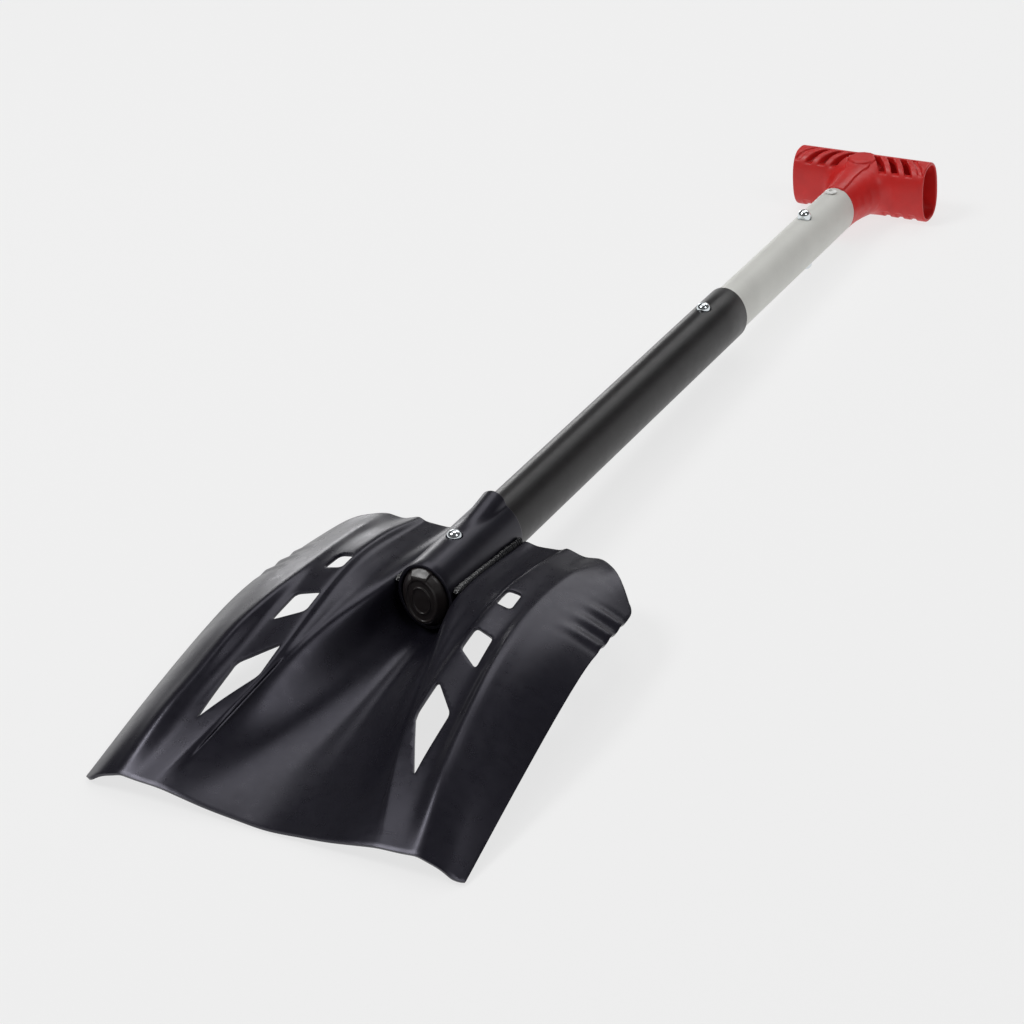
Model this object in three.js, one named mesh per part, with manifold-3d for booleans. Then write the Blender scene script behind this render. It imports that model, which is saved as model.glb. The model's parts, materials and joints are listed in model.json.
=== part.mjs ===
// Avalanche shovel: a pressed sheet blade with a welded socket, a two-stage oval
// telescopic shaft locked by sprung buttons, and a hollow T grip.
//
// Shaft frame: +X across the blade, +Y along the shaft from blade to grip,
// +Z out of the blade's back. y = 0 is the blade's back edge, z = 0 the shaft axis.
// The whole shovel is then tipped about X so that it lies on z = 0, scoop down,
// resting on the blade's front corners and the grip.

import * as THREE from 'three';
import { mergeVertices } from 'three/addons/utils/BufferGeometryUtils.js';
import Module from 'manifold-3d';

const wasm = await Module();
wasm.setup();

// Driving dimensions, millimetres.
const CLEARANCE = 0.4;
const GAP = 0.3;
const SECTION_STEPS = 36;

const LOWER_HALF_WIDTH = 15.3;
const LOWER_HALF_HEIGHT = 18.7;
const SHAFT_WALL = 1.4;
const UPPER_HALF_WIDTH = LOWER_HALF_WIDTH - SHAFT_WALL - CLEARANCE;
const UPPER_HALF_HEIGHT = LOWER_HALF_HEIGHT - SHAFT_WALL - CLEARANCE;

const SOCKET_WALL = 2.0;
const SOCKET_HALF_WIDTH = LOWER_HALF_WIDTH + CLEARANCE + SOCKET_WALL;
const SOCKET_HALF_HEIGHT = LOWER_HALF_HEIGHT + CLEARANCE + SOCKET_WALL;
const SOCKET_FRONT = -77.5;
const SOCKET_MOUTH = 4.6;
const LEAD_IN_LENGTH = 30;
const LEAD_IN_RADIUS = 8;
const LEAD_IN_TIP_RADIUS = 2.5;
const LEAD_IN_HEIGHT = 18.5;

const LOWER_SHAFT_START = -76;
const LOWER_SHAFT_END = 316;
const UPPER_SHAFT_START = 262;
const UPPER_SHAFT_END = 495.5;

const BUTTON_RADIUS = 4.5;
const BUTTON_HOLE_RADIUS = 5.0;
const BUTTON_PROUD = 5.5;
const BUTTON_SHANK = 4.2;
const SPRING_THICKNESS = 0.8;
const SPRING_HALF_WIDTH = 4;
const SPRING_LENGTH = 42;
const SPRING_BEND_RADIUS = 6;
const SOCKET_BUTTON_Y = -41;
const EXTENDED_BUTTON_Y = 283;
const STOWED_BUTTON_Y = 441.5;

const PLUG_FACE_Y = -82.5;
const PLUG_FACE_HALF_WIDTH = 10.6;
const PLUG_FACE_HALF_HEIGHT = 14.8;
const PLUG_SKIRT_LENGTH = 16;
const PLUG_KEY_HALF_WIDTH = 5;

const RIVET_Y = 487;
const RIVET_HEAD_RADIUS = 4.2;
const RIVET_SHANK_RADIUS = 2.4;
const RIVET_BORE_RADIUS = 1.4;
const RIVET_SHANK_END = 9;

const GRIP_Y = 545.6;
const GRIP_HALF_LENGTH = 50.5;
const GRIP_HALF_DEPTH = 14.8;
const GRIP_HALF_HEIGHT = 21.6;
const GRIP_WALL = 2.5;
const GRIP_POWER = 2.5;
const GRIP_PLUG_LENGTH = 26;
const GRIP_WEB_HALF_WIDTH = 14;

// Slots of one half of the grip: [distance from the middle, width, lower end on the front,
// reach from front to back].
const GRIP_SLOTS = [[19, 5.4, 15, 20], [29, 5.4, 15, 20], [39, 5.4, 15, 20], [46.6, 3.6, 18.2, 12]];
const GRIP_NOTCH_REACH = 12;

const BLADE_LENGTH = 252;
const BLADE_THICKNESS = 2.0;
const WELD_LINE = 3;
const WELD_OFFSET_X = -1;
const WELD_OFFSET_Z = 1.9;
const WELD_RADIUS = 1.5;

// The blade is pressed from one sheet. Each line lies on its upper face and runs from the
// back edge to the front edge through points [distance from the back edge, half-width,
// height]; the section at any distance is a smooth curve through the lines.
const BLADE_LINES = [
  // floor of the central channel
  [[0, 0, -22.6], [78, 0, -22.8], [130, 0, -29], [190, 0, -38], [252, 0, -45.6]],
  [[0, 7.6, -20.8], [78, 8, -20.8], [130, 8, -28], [190, 14, -37.2], [252, 22, -43.9]],
  // side of the channel, close round the socket and open in front of it
  [[0, 17.8, -12.4], [78, 18.6, -10.4], [130, 20.5, -20], [190, 30, -32], [252, 40, -42]],
  // rim of the channel
  [[0, 20.8, -1], [78, 21.4, 5], [130, 34, -2.4], [190, 46, -20], [252, 58, -39.2]],
  // shoulder beside the channel
  [[0, 31, -2], [78, 35, 7.4], [130, 40, 0.6], [190, 52, -16.2], [252, 64, -38.2]],
  // foot and top of the inner step
  [[0, 45.4, -1.4], [70, 46, 9.8], [130, 46.4, 1.2], [190, 54, -14.2], [252, 69, -37.5]],
  [[0, 50, 1.1], [35, 50, 9.4], [70, 50, 12.9], [106, 50, 9], [150, 51, -1.4],
    [200, 57, -15.6], [252, 73, -37.2]],
  // foot of the outer step, the far side of the row of holes
  [[0, 61, -2.6], [35, 63, 7.6], [84, 66, 10.6], [125, 69, 4.6], [165, 73, -5.8],
    [205, 77, -17.4], [252, 84, -36.7]],
  // crest of the outer step
  [[0, 73, -1], [35, 72, 7.6], [94, 73, 11], [144, 78.6, 7], [184, 83.4, -5],
    [214, 88.6, -16], [252, 95, -35.8]],
  // crown of the side wing
  [[0, 90, -3], [35, 92, -1], [94, 94, 2.5], [144, 99, -4], [184, 103, -15.5],
    [214, 106.5, -26], [252, 109, -40.4]],
  // side edge
  [[0, 107, -13], [32, 108.6, -12], [84, 112, -8.9], [120, 114.6, -12.8],
    [184, 118.2, -28.4], [252, 121.4, -48.4]],
];
const BLADE_ROWS = 30;
const STEPS_PER_LINE = 2;
const BACK_CORNER_START = 70;
const BACK_CORNER_WIDTH = 38;
const BACK_CORNER_DEPTH = 32;
const FRONT_CORNER_START = 114;
const FRONT_CORNER_WIDTH = 8;
const FRONT_CORNER_DEPTH = 4.5;
const HOLE_CORNER_RADIUS = 4;

// Holes of one side, corners [half-width, distance from the back edge].
const BLADE_HOLES = [
  [[50.5, 69.5], [50.5, 84.3], [61.9, 86.4], [60.3, 69.6]],
  [[50.5, 105.9], [50.5, 123.5], [66.7, 135.6], [64.5, 111]],
  [[50.5, 148.5], [50.5, 174], [70, 210.5], [68.9, 168.1]],
];

// ---------------------------------------------------------------- helpers

function toManifold(geometry) {
  const bare = geometry.clone();
  bare.deleteAttribute('normal');
  bare.deleteAttribute('uv');
  const merged = mergeVertices(bare, 1e-4);
  return new wasm.Manifold(new wasm.Mesh({
    numProp: 3,
    vertProperties: new Float32Array(merged.attributes.position.array),
    triVerts: new Uint32Array(merged.index.array),
  }));
}

function toGeometry(manifold) {
  const mesh = manifold.getMesh();
  const geometry = new THREE.BufferGeometry();
  geometry.setAttribute('position', new THREE.BufferAttribute(new Float32Array(mesh.vertProperties), 3));
  geometry.setIndex(new THREE.BufferAttribute(new Uint32Array(mesh.triVerts), 1));
  return geometry;
}

function cut(solid, ...tools) {
  return tools.reduce((left, tool) => left.subtract(tool), solid);
}

function join(solid, ...others) {
  return others.reduce((left, other) => left.add(other), solid);
}

// Solid oval bar along Y from y0 to y1.
function ovalBar(halfWidth, halfHeight, y0, y1, steps = SECTION_STEPS) {
  const shape = new THREE.Shape();
  shape.absellipse(0, 0, halfWidth, halfHeight, 0, Math.PI * 2);
  const options = { depth: y1 - y0, bevelEnabled: false, curveSegments: steps };
  const geometry = new THREE.ExtrudeGeometry(shape, options);
  geometry.rotateX(Math.PI / 2);
  geometry.translate(0, y1, 0);
  return toManifold(geometry);
}

// Oval bar along Y whose section changes through stations [y, halfWidth, halfHeight].
function taperedOval(stations, steps = SECTION_STEPS) {
  const positions = [];
  const indices = [];
  for (const [y, halfWidth, halfHeight] of stations) {
    for (let i = 0; i < steps; i += 1) {
      const angle = (i / steps) * Math.PI * 2;
      positions.push(halfWidth * Math.cos(angle), y, halfHeight * Math.sin(angle));
    }
  }
  for (let row = 0; row + 1 < stations.length; row += 1) {
    for (let i = 0; i < steps; i += 1) {
      const next = (i + 1) % steps;
      const a = row * steps + i;
      const b = row * steps + next;
      indices.push(a, a + steps, b, b, a + steps, b + steps);
    }
  }
  const last = (stations.length - 1) * steps;
  for (let i = 1; i + 1 < steps; i += 1) {
    indices.push(0, i, i + 1);
    indices.push(last, last + i + 1, last + i);
  }
  const geometry = new THREE.BufferGeometry();
  geometry.setAttribute('position', new THREE.Float32BufferAttribute(positions, 3));
  geometry.setIndex(indices);
  return toManifold(geometry);
}

// Round bar along Z from z0 to z1 at (x, y).
function roundBar(radius, z0, z1, x, y, steps = 20) {
  const geometry = new THREE.CylinderGeometry(radius, radius, z1 - z0, steps);
  geometry.rotateX(Math.PI / 2);
  geometry.translate(x, y, (z0 + z1) / 2);
  return toManifold(geometry);
}

function block(x0, x1, y0, y1, z0, z1) {
  const geometry = new THREE.BoxGeometry(x1 - x0, y1 - y0, z1 - z0);
  geometry.translate((x0 + x1) / 2, (y0 + y1) / 2, (z0 + z1) / 2);
  return toManifold(geometry);
}

// Turned piece about the Z axis at y, from a profile of [radius, z]; side is +1 or -1.
function turned(profile, y, side, steps = 20) {
  const points = profile.map(([radius, z]) => new THREE.Vector2(radius, z));
  const geometry = new THREE.LatheGeometry(points, steps);
  geometry.rotateX(Math.PI / 2);
  if (side < 0) {
    geometry.rotateX(Math.PI);
  }
  geometry.translate(0, y, 0);
  return toManifold(geometry);
}

function named(name, solid, color, roughness, metalness) {
  const material = new THREE.MeshStandardMaterial({ color, roughness, metalness });
  const mesh = new THREE.Mesh(toGeometry(solid), material);
  mesh.name = name;
  return mesh;
}

// ---------------------------------------------------------------- blade

// Point of one line at a distance from the back edge, as [half-width, height].
function linePoint(line, distance) {
  let k = 0;
  while (k + 2 < line.length && distance > line[k + 1][0]) {
    k += 1;
  }
  const before = line[Math.max(k - 1, 0)];
  const from = line[k];
  const to = line[k + 1];
  const after = line[Math.min(k + 2, line.length - 1)];
  const t = (distance - from[0]) / (to[0] - from[0]);
  const span = to[0] - from[0];
  return [1, 2].map((axis) => {
    const slopeFrom = (to[axis] - before[axis]) / (to[0] - before[0]);
    const slopeTo = (after[axis] - from[axis]) / (after[0] - from[0]);
    const h01 = t * t * (3 - 2 * t);
    const h10 = t * (1 - t) * (1 - t);
    const h11 = t * t * (t - 1);
    return from[axis] * (1 - h01) + to[axis] * h01 + span * (slopeFrom * h10 + slopeTo * h11);
  });
}

// Distance of the blade's back and front edge lines from y = 0 at a half-width.
function backEdge(halfWidth) {
  const t = THREE.MathUtils.clamp((halfWidth - BACK_CORNER_START) / BACK_CORNER_WIDTH, 0, 1);
  return BACK_CORNER_DEPTH * t ** 1.5;
}

function frontEdge(halfWidth) {
  const t = THREE.MathUtils.clamp((halfWidth - FRONT_CORNER_START) / FRONT_CORNER_WIDTH, 0, 1);
  return BLADE_LENGTH - FRONT_CORNER_DEPTH * t * t;
}

// Section of the whole blade at a distance, side edge to side edge.
function bladeSection(distance) {
  const half = BLADE_LINES.map((line) => linePoint(line, distance));
  const left = half.slice(1).reverse().map(([x, z]) => new THREE.Vector2(-x, z));
  const right = half.map(([x, z]) => new THREE.Vector2(x, z));
  return new THREE.SplineCurve([...left, ...right]);
}

// Point of the sheet's upper face: across 0..1 side to side, along 0..1 back to front.
function bladePoint(across, along) {
  const near = bladeSection(along * BLADE_LENGTH).getPoint(across);
  const halfWidth = Math.abs(near.x);
  const distance = THREE.MathUtils.lerp(backEdge(halfWidth), frontEdge(halfWidth), along);
  const at = bladeSection(distance).getPoint(across);
  return new THREE.Vector3(at.x, -distance, at.y);
}

function bladeNormal(across, along) {
  const step = 1e-3;
  const a0 = Math.max(across - step, 0);
  const a1 = Math.min(across + step, 1);
  const b0 = Math.max(along - step, 0);
  const b1 = Math.min(along + step, 1);
  const sideways = bladePoint(a1, along).sub(bladePoint(a0, along));
  const forward = bladePoint(across, b1).sub(bladePoint(across, b0));
  return forward.cross(sideways).normalize();
}

function bladeSheet() {
  const columns = (BLADE_LINES.length - 1) * 2 * STEPS_PER_LINE;
  const stride = columns + 1;
  const size = stride * (BLADE_ROWS + 1);
  const positions = [];
  const indices = [];
  for (const depth of [0, BLADE_THICKNESS]) {
    for (let row = 0; row <= BLADE_ROWS; row += 1) {
      for (let column = 0; column <= columns; column += 1) {
        const across = column / columns;
        const along = row / BLADE_ROWS;
        const normal = bladeNormal(across, along);
        const point = bladePoint(across, along).addScaledVector(normal, -depth);
        positions.push(point.x, point.y, point.z);
      }
    }
  }
  const quad = (a, b, c, d) => indices.push(a, b, c, a, c, d);
  for (let row = 0; row < BLADE_ROWS; row += 1) {
    for (let column = 0; column < columns; column += 1) {
      const a = row * stride + column;
      quad(a, a + stride, a + stride + 1, a + 1);
      quad(size + a, size + a + 1, size + a + stride + 1, size + a + stride);
    }
  }
  for (let column = 0; column < columns; column += 1) {
    const front = BLADE_ROWS * stride + column;
    quad(column, column + 1, size + column + 1, size + column);
    quad(front, size + front, size + front + 1, front + 1);
  }
  for (let row = 0; row < BLADE_ROWS; row += 1) {
    const left = row * stride;
    const right = left + columns;
    quad(left, size + left, size + left + stride, left + stride);
    quad(right, right + stride, size + right + stride, size + right);
  }
  const geometry = new THREE.BufferGeometry();
  geometry.setAttribute('position', new THREE.Float32BufferAttribute(positions, 3));
  geometry.setIndex(indices);
  return toManifold(geometry);
}

// Outline through corner points, each corner rounded off by a radius.
function roundedOutline(points, radius) {
  const shape = new THREE.Shape();
  points.forEach((corner, i) => {
    const before = points[(i + points.length - 1) % points.length];
    const after = points[(i + 1) % points.length];
    const enter = corner.clone().add(before.clone().sub(corner).setLength(radius));
    const leave = corner.clone().add(after.clone().sub(corner).setLength(radius));
    if (i === 0) {
      shape.moveTo(enter.x, enter.y);
    } else {
      shape.lineTo(enter.x, enter.y);
    }
    shape.quadraticCurveTo(corner.x, corner.y, leave.x, leave.y);
  });
  return shape;
}

function bladeHole(corners, side) {
  const points = corners.map(([x, distance]) => new THREE.Vector2(side * x, -distance));
  const shape = roundedOutline(points, HOLE_CORNER_RADIUS);
  const geometry = new THREE.ExtrudeGeometry(shape, { depth: 90, bevelEnabled: false, curveSegments: 4 });
  geometry.translate(0, 0, -60);
  return toManifold(geometry);
}

function makeBlade() {
  const holes = BLADE_HOLES.flatMap((corners) => [bladeHole(corners, 1), bladeHole(corners, -1)]);
  return cut(bladeSheet(), ...holes);
}

// ---------------------------------------------------------------- socket and welds

// A half-cone flare over the mouth guides the button in as the shaft is pushed home.
function leadIn(inset) {
  const mouthRadius = LEAD_IN_RADIUS - inset;
  const tipRadius = LEAD_IN_TIP_RADIUS - inset;
  const geometry = new THREE.CylinderGeometry(mouthRadius, tipRadius, LEAD_IN_LENGTH, 24);
  geometry.translate(0, SOCKET_MOUTH - LEAD_IN_LENGTH / 2, LEAD_IN_HEIGHT);
  return toManifold(geometry);
}

function makeSocket() {
  const shell = ovalBar(SOCKET_HALF_WIDTH, SOCKET_HALF_HEIGHT, SOCKET_FRONT, SOCKET_MOUTH);
  const upperHalf = block(-40, 40, SOCKET_MOUTH - LEAD_IN_LENGTH, SOCKET_MOUTH, 8, 60);
  const flare = leadIn(0).intersect(upperHalf);
  const hollow = leadIn(SOCKET_WALL * 0.8).translate([0, 0.1, 0]);
  const boreHalfWidth = LOWER_HALF_WIDTH + CLEARANCE;
  const boreHalfHeight = LOWER_HALF_HEIGHT + CLEARANCE;
  const bore = ovalBar(boreHalfWidth, boreHalfHeight, SOCKET_FRONT - 5, SOCKET_MOUTH + 5);
  const buttonHole = roundBar(BUTTON_HOLE_RADIUS, 10, 40, 0, SOCKET_BUTTON_Y);
  return cut(join(shell, flare), hollow, bore, buttonHole);
}

// Weld bead along one side of the socket, in the corner between socket and sheet.
function makeWeld(side) {
  const inset = 4;
  const points = [];
  for (let i = 0; i <= 4; i += 1) {
    const y = THREE.MathUtils.lerp(SOCKET_FRONT + inset, -inset, i / 4);
    const [rimX, rimZ] = linePoint(BLADE_LINES[WELD_LINE], -y);
    points.push(new THREE.Vector3(side * (rimX + WELD_OFFSET_X), y, rimZ + WELD_OFFSET_Z));
  }
  const section = new THREE.Shape();
  section.absarc(0, 0, WELD_RADIUS, 0, Math.PI * 2);
  const path = new THREE.CatmullRomCurve3(points);
  const options = { steps: 16, extrudePath: path, curveSegments: 6 };
  return toManifold(new THREE.ExtrudeGeometry(section, options));
}

// ---------------------------------------------------------------- shaft

function shaftTube(halfWidth, halfHeight, y0, y1) {
  const outside = ovalBar(halfWidth, halfHeight, y0, y1);
  const inside = ovalBar(halfWidth - SHAFT_WALL, halfHeight - SHAFT_WALL, y0 - 1, y1 + 1);
  return cut(outside, inside);
}

function makeLowerShaft() {
  const tube = shaftTube(LOWER_HALF_WIDTH, LOWER_HALF_HEIGHT, LOWER_SHAFT_START, LOWER_SHAFT_END);
  const socketHole = roundBar(BUTTON_HOLE_RADIUS, 5, 30, 0, SOCKET_BUTTON_Y);
  const throughHole = roundBar(BUTTON_HOLE_RADIUS, -30, 30, 0, EXTENDED_BUTTON_Y);
  return cut(tube, socketHole, throughHole);
}

function makeUpperShaft() {
  const tube = shaftTube(UPPER_HALF_WIDTH, UPPER_HALF_HEIGHT, UPPER_SHAFT_START, UPPER_SHAFT_END);
  const extendedHole = roundBar(BUTTON_HOLE_RADIUS, -30, 30, 0, EXTENDED_BUTTON_Y);
  const stowedHole = roundBar(BUTTON_HOLE_RADIUS, -30, 30, 0, STOWED_BUTTON_Y);
  const rivetHole = roundBar(RIVET_SHANK_RADIUS + GAP, -30, 30, 0, RIVET_Y);
  return cut(tube, extendedHole, stowedHole, rivetHole);
}

// End plug: a hollow skirt inside the tube, a tapered nose and a key on top that is no higher
// than the tube, so the shaft can be pulled out through the socket.
function makePlug() {
  const skirtWidth = LOWER_HALF_WIDTH - SHAFT_WALL - GAP;
  const skirtHeight = LOWER_HALF_HEIGHT - SHAFT_WALL - GAP;
  const noseStart = LOWER_SHAFT_START - GAP;
  const skirt = ovalBar(skirtWidth, skirtHeight, noseStart - 0.5, LOWER_SHAFT_START + PLUG_SKIRT_LENGTH);
  const nose = taperedOval([
    [PLUG_FACE_Y, PLUG_FACE_HALF_WIDTH, PLUG_FACE_HALF_HEIGHT],
    [PLUG_FACE_Y + 3.6, LOWER_HALF_WIDTH - 1.4, LOWER_HALF_HEIGHT - 1.4],
    [noseStart, LOWER_HALF_WIDTH - 0.6, LOWER_HALF_HEIGHT - 0.6],
  ]);
  const keyBlock = block(-PLUG_KEY_HALF_WIDTH, PLUG_KEY_HALF_WIDTH, PLUG_FACE_Y, noseStart, 8, 30);
  const tubeOutline = ovalBar(LOWER_HALF_WIDTH, LOWER_HALF_HEIGHT, PLUG_FACE_Y, noseStart);
  const key = keyBlock.intersect(tubeOutline);
  const hollowEnd = LOWER_SHAFT_START + PLUG_SKIRT_LENGTH + 1;
  const hollow = ovalBar(skirtWidth - 2, skirtHeight - 2, PLUG_FACE_Y + 4, hollowEnd);
  return cut(join(skirt, nose, key), hollow);
}

// ---------------------------------------------------------------- snap buttons

// Domed button standing proud of a tube surface at height surface.
function makeButton(surface, y, side) {
  const top = surface + BUTTON_PROUD;
  const profile = [
    [0, surface - BUTTON_SHANK],
    [BUTTON_RADIUS, surface - BUTTON_SHANK],
    [BUTTON_RADIUS, top - 3.2],
    [BUTTON_RADIUS * 0.91, top - 1.9],
    [BUTTON_RADIUS * 0.69, top - 0.8],
    [BUTTON_RADIUS * 0.36, top - 0.2],
    [0, top],
  ];
  return turned(profile, y, side);
}

// Folded leaf spring: an upper and a lower leaf joined by a bend, direction is the
// side of the button on which the bend lies.
function makeSpring(buttonY, upperLeaf, lowerLeaf, direction) {
  const tip = BUTTON_RADIUS + 1.5;
  const centre = (upperLeaf + lowerLeaf) / 2;
  const outline = (inset) => {
    const points = [[-tip, upperLeaf - inset]];
    const bendRadius = SPRING_BEND_RADIUS - inset;
    for (let i = 0; i <= 8; i += 1) {
      const angle = Math.PI / 2 - (i / 8) * Math.PI;
      points.push([SPRING_LENGTH + bendRadius * Math.cos(angle), centre + bendRadius * Math.sin(angle)]);
    }
    points.push([-tip, lowerLeaf + inset]);
    return points;
  };
  const loop = [...outline(0), ...outline(SPRING_THICKNESS).reverse()];
  const shape = new THREE.Shape(loop.map(([along, z]) => new THREE.Vector2(along * direction, z)));
  const geometry = new THREE.ExtrudeGeometry(shape, { depth: SPRING_HALF_WIDTH * 2, bevelEnabled: false });
  geometry.rotateX(Math.PI / 2);
  geometry.rotateZ(Math.PI / 2);
  geometry.translate(-SPRING_HALF_WIDTH, buttonY, 0);
  return toManifold(geometry);
}

// ---------------------------------------------------------------- grip and rivets

function superOval(halfDepth, halfHeight, count, power) {
  const points = [];
  for (let i = 0; i < count; i += 1) {
    const angle = (i / count) * Math.PI * 2;
    const c = Math.cos(angle);
    const s = Math.sin(angle);
    const x = halfDepth * Math.sign(c) * Math.abs(c) ** (2 / power);
    const y = halfHeight * Math.sign(s) * Math.abs(s) ** (2 / power);
    points.push(new THREE.Vector2(x, y));
  }
  return points;
}

// Bar along X with a rounded section in Y and Z, centred on the grip.
function crossBar(halfDepth, halfHeight, x0, x1) {
  const shape = new THREE.Shape(superOval(halfDepth, halfHeight, 40, GRIP_POWER));
  const geometry = new THREE.ExtrudeGeometry(shape, { depth: x1 - x0, bevelEnabled: false });
  geometry.rotateX(Math.PI / 2);
  geometry.rotateZ(Math.PI / 2);
  geometry.translate(x0, GRIP_Y, 0);
  return toManifold(geometry);
}

function makeGrip() {
  const plugWidth = UPPER_HALF_WIDTH - SHAFT_WALL - GAP;
  const plugHeight = UPPER_HALF_HEIGHT - SHAFT_WALL - GAP;
  const neckStart = UPPER_SHAFT_END + GAP;
  const plug = ovalBar(plugWidth, plugHeight, UPPER_SHAFT_END - GRIP_PLUG_LENGTH, neckStart + 1);
  const front = GRIP_Y - GRIP_HALF_DEPTH;
  const neck = taperedOval([
    [neckStart, UPPER_HALF_WIDTH, UPPER_HALF_HEIGHT],
    [neckStart + 7, UPPER_HALF_WIDTH + 0.2, UPPER_HALF_HEIGHT],
    [neckStart + 15, UPPER_HALF_WIDTH + 1.6, UPPER_HALF_HEIGHT + 0.2],
    [front - 10, UPPER_HALF_WIDTH + 4.2, UPPER_HALF_HEIGHT + 0.6],
    [front - 4, UPPER_HALF_WIDTH + 8, UPPER_HALF_HEIGHT + 1],
    [front, UPPER_HALF_WIDTH + 13, UPPER_HALF_HEIGHT + 1.4],
    [GRIP_Y - 8, UPPER_HALF_WIDTH + 14, UPPER_HALF_HEIGHT + 1.4],
  ]);
  const coreStart = UPPER_SHAFT_END - GRIP_PLUG_LENGTH - 1;
  const core = ovalBar(plugWidth - GRIP_WALL, plugHeight - GRIP_WALL, coreStart, front);
  const bar = crossBar(GRIP_HALF_DEPTH, GRIP_HALF_HEIGHT, -GRIP_HALF_LENGTH, GRIP_HALF_LENGTH);
  const solid = join(bar, neck, plug);
  const innerDepth = GRIP_HALF_DEPTH - GRIP_WALL;
  const innerHeight = GRIP_HALF_HEIGHT - GRIP_WALL;
  const hollows = [1, -1].map((side) => {
    const ends = [side * GRIP_WEB_HALF_WIDTH, side * (GRIP_HALF_LENGTH + 1)];
    return crossBar(innerDepth, innerHeight, Math.min(...ends), Math.max(...ends));
  });
  const top = GRIP_HALF_HEIGHT + 1;
  const slots = GRIP_SLOTS.flatMap(([x, width, low, reach]) => [1, -1].flatMap((side) => {
    const x0 = side * x - width / 2;
    const x1 = side * x + width / 2;
    const upper = block(x0, x1, GRIP_Y - reach, GRIP_Y + reach, low, top);
    const half = GRIP_NOTCH_REACH / 2;
    const lower = block(x0, x1, GRIP_Y - half, GRIP_Y + half, -top, GRIP_WALL - top);
    return [upper, lower];
  }));
  const rivetHole = roundBar(RIVET_SHANK_RADIUS + GAP, -30, 30, 0, RIVET_Y);
  return cut(solid, core, ...hollows, ...slots, rivetHole);
}

// Blind rivet body: dished head outside the tube, hollow shank inside.
function makeRivet(side) {
  const seat = UPPER_HALF_HEIGHT + GAP;
  const profile = [
    [RIVET_BORE_RADIUS, seat + 1.3],
    [RIVET_BORE_RADIUS, RIVET_SHANK_END],
    [RIVET_SHANK_RADIUS, RIVET_SHANK_END],
    [RIVET_SHANK_RADIUS, seat],
    [RIVET_HEAD_RADIUS, seat],
    [RIVET_HEAD_RADIUS * 0.93, seat + 0.7],
    [RIVET_HEAD_RADIUS * 0.6, seat + 1.2],
    [RIVET_BORE_RADIUS, seat + 1.3],
  ];
  return turned(profile, RIVET_Y, side);
}

// Mandrel stub left in a blind rivet, with its head below the shank.
function makeMandrel(side) {
  const stem = RIVET_BORE_RADIUS - GAP;
  const profile = [
    [0, RIVET_SHANK_END - 2.6],
    [RIVET_SHANK_RADIUS * 0.8, RIVET_SHANK_END - 2.2],
    [RIVET_SHANK_RADIUS, RIVET_SHANK_END - GAP],
    [stem, RIVET_SHANK_END - GAP],
    [stem, RIVET_SHANK_END + 5],
    [0, RIVET_SHANK_END + 5],
  ];
  return turned(profile, RIVET_Y, side);
}

// ---------------------------------------------------------------- assembly

const BLACK_ALUMINIUM = [0x2b2b31, 0.42, 0.75];
const BLACK_SHAFT = [0x2a292c, 0.62, 0.6];
const GREY_SHAFT = [0xb9bab5, 0.5, 0.6];
const BLACK_PLASTIC = [0x1c1a1a, 0.5, 0];
const ZINC_STEEL = [0xc9d0d4, 0.18, 1];
const SPRING_STEEL = [0x8b8f94, 0.3, 1];
const RED_NYLON = [0xb5302f, 0.45, 0];
const WHITE_RIVET = [0xe6e6e4, 0.35, 0.3];

const upperLeaf = UPPER_HALF_HEIGHT - BUTTON_SHANK - GAP;
const socketLeaf = LOWER_HALF_HEIGHT - BUTTON_SHANK - GAP;
const socketLowerLeaf = -(LOWER_HALF_HEIGHT - SHAFT_WALL - 1.2);

const blade = new THREE.Group();
blade.add(named('blade', makeBlade(), ...BLACK_ALUMINIUM));
blade.add(named('socket_tube', makeSocket(), ...BLACK_ALUMINIUM));
blade.add(named('weld_bead_left', makeWeld(-1), ...BLACK_ALUMINIUM));
blade.add(named('weld_bead_right', makeWeld(1), ...BLACK_ALUMINIUM));

const lowerShaft = new THREE.Group();
const socketSpring = makeSpring(SOCKET_BUTTON_Y, socketLeaf, socketLowerLeaf, 1);
lowerShaft.add(named('lower_shaft', makeLowerShaft(), ...BLACK_SHAFT));
lowerShaft.add(named('lower_shaft_plug', makePlug(), ...BLACK_PLASTIC));
lowerShaft.add(named('socket_button', makeButton(LOWER_HALF_HEIGHT, SOCKET_BUTTON_Y, 1), ...ZINC_STEEL));
lowerShaft.add(named('socket_button_spring', socketSpring, ...SPRING_STEEL));

const upperShaft = new THREE.Group();
upperShaft.add(named('upper_shaft', makeUpperShaft(), ...GREY_SHAFT));
for (const [name, y, bend] of [['extended', EXTENDED_BUTTON_Y, 1], ['stowed', STOWED_BUTTON_Y, -1]]) {
  for (const [place, side] of [['top', 1], ['bottom', -1]]) {
    const button = makeButton(UPPER_HALF_HEIGHT, y, side);
    upperShaft.add(named(`${name}_button_${place}`, button, ...ZINC_STEEL));
  }
  const spring = makeSpring(y, upperLeaf, -upperLeaf, bend);
  upperShaft.add(named(`${name}_button_spring`, spring, ...SPRING_STEEL));
}
upperShaft.add(named('grip', makeGrip(), ...RED_NYLON));
for (const [place, side] of [['top', 1], ['bottom', -1]]) {
  upperShaft.add(named(`grip_rivet_${place}`, makeRivet(side), ...WHITE_RIVET));
  upperShaft.add(named(`rivet_mandrel_${place}`, makeMandrel(side), ...SPRING_STEEL));
}

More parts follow.
